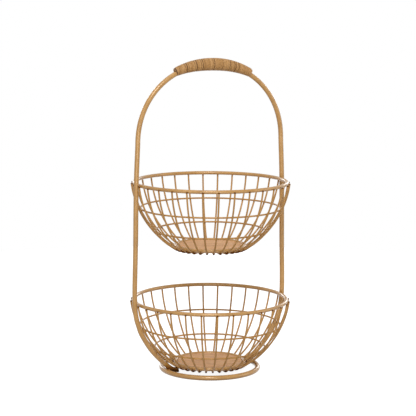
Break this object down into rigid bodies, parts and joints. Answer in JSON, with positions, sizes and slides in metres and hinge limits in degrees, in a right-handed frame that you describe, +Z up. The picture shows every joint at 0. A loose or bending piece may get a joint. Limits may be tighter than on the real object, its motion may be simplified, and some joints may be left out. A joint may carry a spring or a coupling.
{
  "type": "two-tier wire basket",
  "caption": "Two round wire bowls, one above the other, on a bent rod frame with an arched cane-wound grip, wooden base discs and a round foot ring.",
  "frame": {"origin": "middle of the foot ring, on the ground that it stands on", "axes": "+Z up along the axis of the bowls; the bent rod frame lies in the XZ plane, with one upright at +X and one at -X; +Y runs square to the frame"},
  "size_m": [0.2742, 0.26, 0.5081],
  "materials": {
    "gold_painted_steel": "satin",
    "disc_wood": "matte",
    "grip_core_wood": "matte",
    "grip_cane": "satin"
  },
  "bodies": {
    "root": {"frame_rod": "gold_painted_steel", "foot_ring": "gold_painted_steel", "upper_rim": "gold_painted_steel", "upper_hoop_1": "gold_painted_steel", "upper_hoop_2": "gold_painted_steel", "upper_base_ring": "gold_painted_steel", "upper_base_disc": "disc_wood", "upper_rib_pair_01": "gold_painted_steel", "upper_rib_pair_02": "gold_painted_steel", "upper_rib_pair_03": "gold_painted_steel", "upper_rib_pair_04": "gold_painted_steel", "upper_rib_pair_05": "gold_painted_steel", "upper_rib_pair_06": "gold_painted_steel", "upper_rib_pair_07": "gold_painted_steel", "upper_rib_pair_08": "gold_painted_steel", "upper_rib_pair_09": "gold_painted_steel", "upper_rib_pair_10": "gold_painted_steel", "upper_rib_pair_11": "gold_painted_steel", "upper_rib_pair_12": "gold_painted_steel", "upper_rib_pair_13": "gold_painted_steel", "upper_rib_pair_14": "gold_painted_steel", "upper_rib_pair_15": "gold_painted_steel", "upper_rib_pair_16": "gold_painted_steel", "lower_rim": "gold_painted_steel", "lower_hoop_1": "gold_painted_steel", "lower_hoop_2": "gold_painted_steel", "lower_base_ring": "gold_painted_steel", "lower_base_disc": "disc_wood", "lower_rib_pair_01": "gold_painted_steel", "lower_rib_pair_02": "gold_painted_steel", "lower_rib_pair_03": "gold_painted_steel", "lower_rib_pair_04": "gold_painted_steel", "lower_rib_pair_05": "gold_painted_steel", "lower_rib_pair_06": "gold_painted_steel", "lower_rib_pair_07": "gold_painted_steel", "lower_rib_pair_08": "gold_painted_steel", "lower_rib_pair_09": "gold_painted_steel", "lower_rib_pair_10": "gold_painted_steel", "lower_rib_pair_11": "gold_painted_steel", "lower_rib_pair_12": "gold_painted_steel", "lower_rib_pair_13": "gold_painted_steel", "lower_rib_pair_14": "gold_painted_steel", "lower_rib_pair_15": "gold_painted_steel", "lower_rib_pair_16": "gold_painted_steel", "grip_core": "grip_core_wood", "cane_wrap": "grip_cane"}
  },
  "joints": []
}
